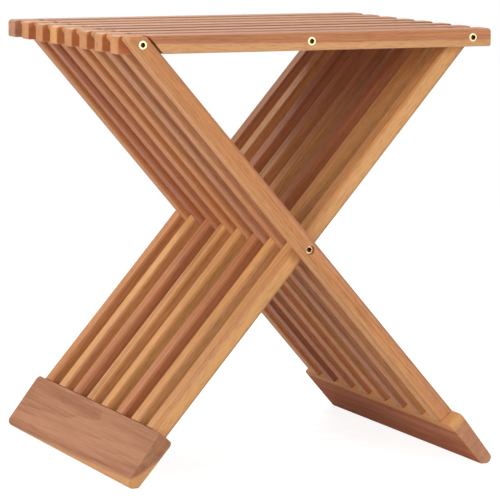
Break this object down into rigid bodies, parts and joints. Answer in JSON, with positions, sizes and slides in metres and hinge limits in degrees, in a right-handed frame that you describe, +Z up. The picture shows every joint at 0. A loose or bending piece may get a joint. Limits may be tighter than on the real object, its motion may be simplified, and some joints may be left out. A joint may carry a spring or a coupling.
{
  "type": "folding stool",
  "caption": "Slatted hardwood folding stool with crossed legs on foot rails and a flat seat of interleaved slats that folds up in the middle.",
  "frame": {"origin": "on the floor, under the middle of the stool", "axes": "+Z up, +X along the seat slats, +Y from the front layer of slats to the back one"},
  "size_m": [0.4045, 0.3844, 0.45],
  "materials": {
    "leg_wood": "oiled, satin",
    "seat_wood": "oiled, satin",
    "foot_wood": "oiled, satin",
    "rod_steel": "plain drawn",
    "nut_brass": "polished"
  },
  "bodies": {
    "leg_a": {"leg_a_slat_1": "leg_wood", "leg_a_slat_2": "leg_wood", "leg_a_slat_3": "leg_wood", "leg_a_slat_4": "leg_wood", "leg_a_slat_5": "leg_wood", "leg_a_slat_6": "leg_wood", "leg_a_slat_7": "leg_wood", "leg_a_slat_8": "leg_wood", "foot_rail_a": "foot_wood", "rod_a": "rod_steel", "nut_a_front": "nut_brass", "nut_a_back": "nut_brass", "rod_scissor": "rod_steel", "nut_scissor_front": "nut_brass", "nut_scissor_back": "nut_brass"},
    "leg_b": {"leg_b_slat_1": "leg_wood", "leg_b_slat_2": "leg_wood", "leg_b_slat_3": "leg_wood", "leg_b_slat_4": "leg_wood", "leg_b_slat_5": "leg_wood", "leg_b_slat_6": "leg_wood", "leg_b_slat_7": "leg_wood", "leg_b_slat_8": "leg_wood", "foot_rail_b": "foot_wood", "rod_b": "rod_steel", "nut_b_front": "nut_brass", "nut_b_back": "nut_brass"},
    "seat_a": {"seat_a_slat_1": "seat_wood", "seat_a_slat_2": "seat_wood", "seat_a_slat_3": "seat_wood", "seat_a_slat_4": "seat_wood", "seat_a_slat_5": "seat_wood", "seat_a_slat_6": "seat_wood", "seat_a_slat_7": "seat_wood", "seat_a_slat_8": "seat_wood", "rod_seat_a": "rod_steel", "nut_seat_back": "nut_brass"},
    "seat_b": {"seat_b_slat_1": "seat_wood", "seat_b_slat_2": "seat_wood", "seat_b_slat_3": "seat_wood", "seat_b_slat_4": "seat_wood", "seat_b_slat_5": "seat_wood", "seat_b_slat_6": "seat_wood", "seat_b_slat_7": "seat_wood", "seat_b_slat_8": "seat_wood", "rod_seat_b": "rod_steel", "nut_seat_front": "nut_brass"}
  },
  "joints": [
    {"name": "fold", "type": "hinge", "parent": "leg_a", "child": "leg_b", "pos_m": [0, 0, 0.23], "axis": [0, -1, 0], "range_deg": [0, 76.5]},
    {"name": "seat_a_hinge", "type": "hinge", "parent": "leg_a", "child": "seat_a", "pos_m": [-0.1815, 0, 0.44075], "axis": [0, -1, 0], "range_deg": [0, 124.44]},
    {"name": "seat_b_hinge", "type": "hinge", "parent": "leg_b", "child": "seat_b", "pos_m": [0.1815, 0, 0.44075], "axis": [0, 1, 0], "range_deg": [0, 124.44]}
  ],
  "couplings": [
    {"joint": "seat_a_hinge", "follows": "fold", "ratio": 1.6267},
    {"joint": "seat_b_hinge", "follows": "fold", "ratio": 1.6267}
  ]
}
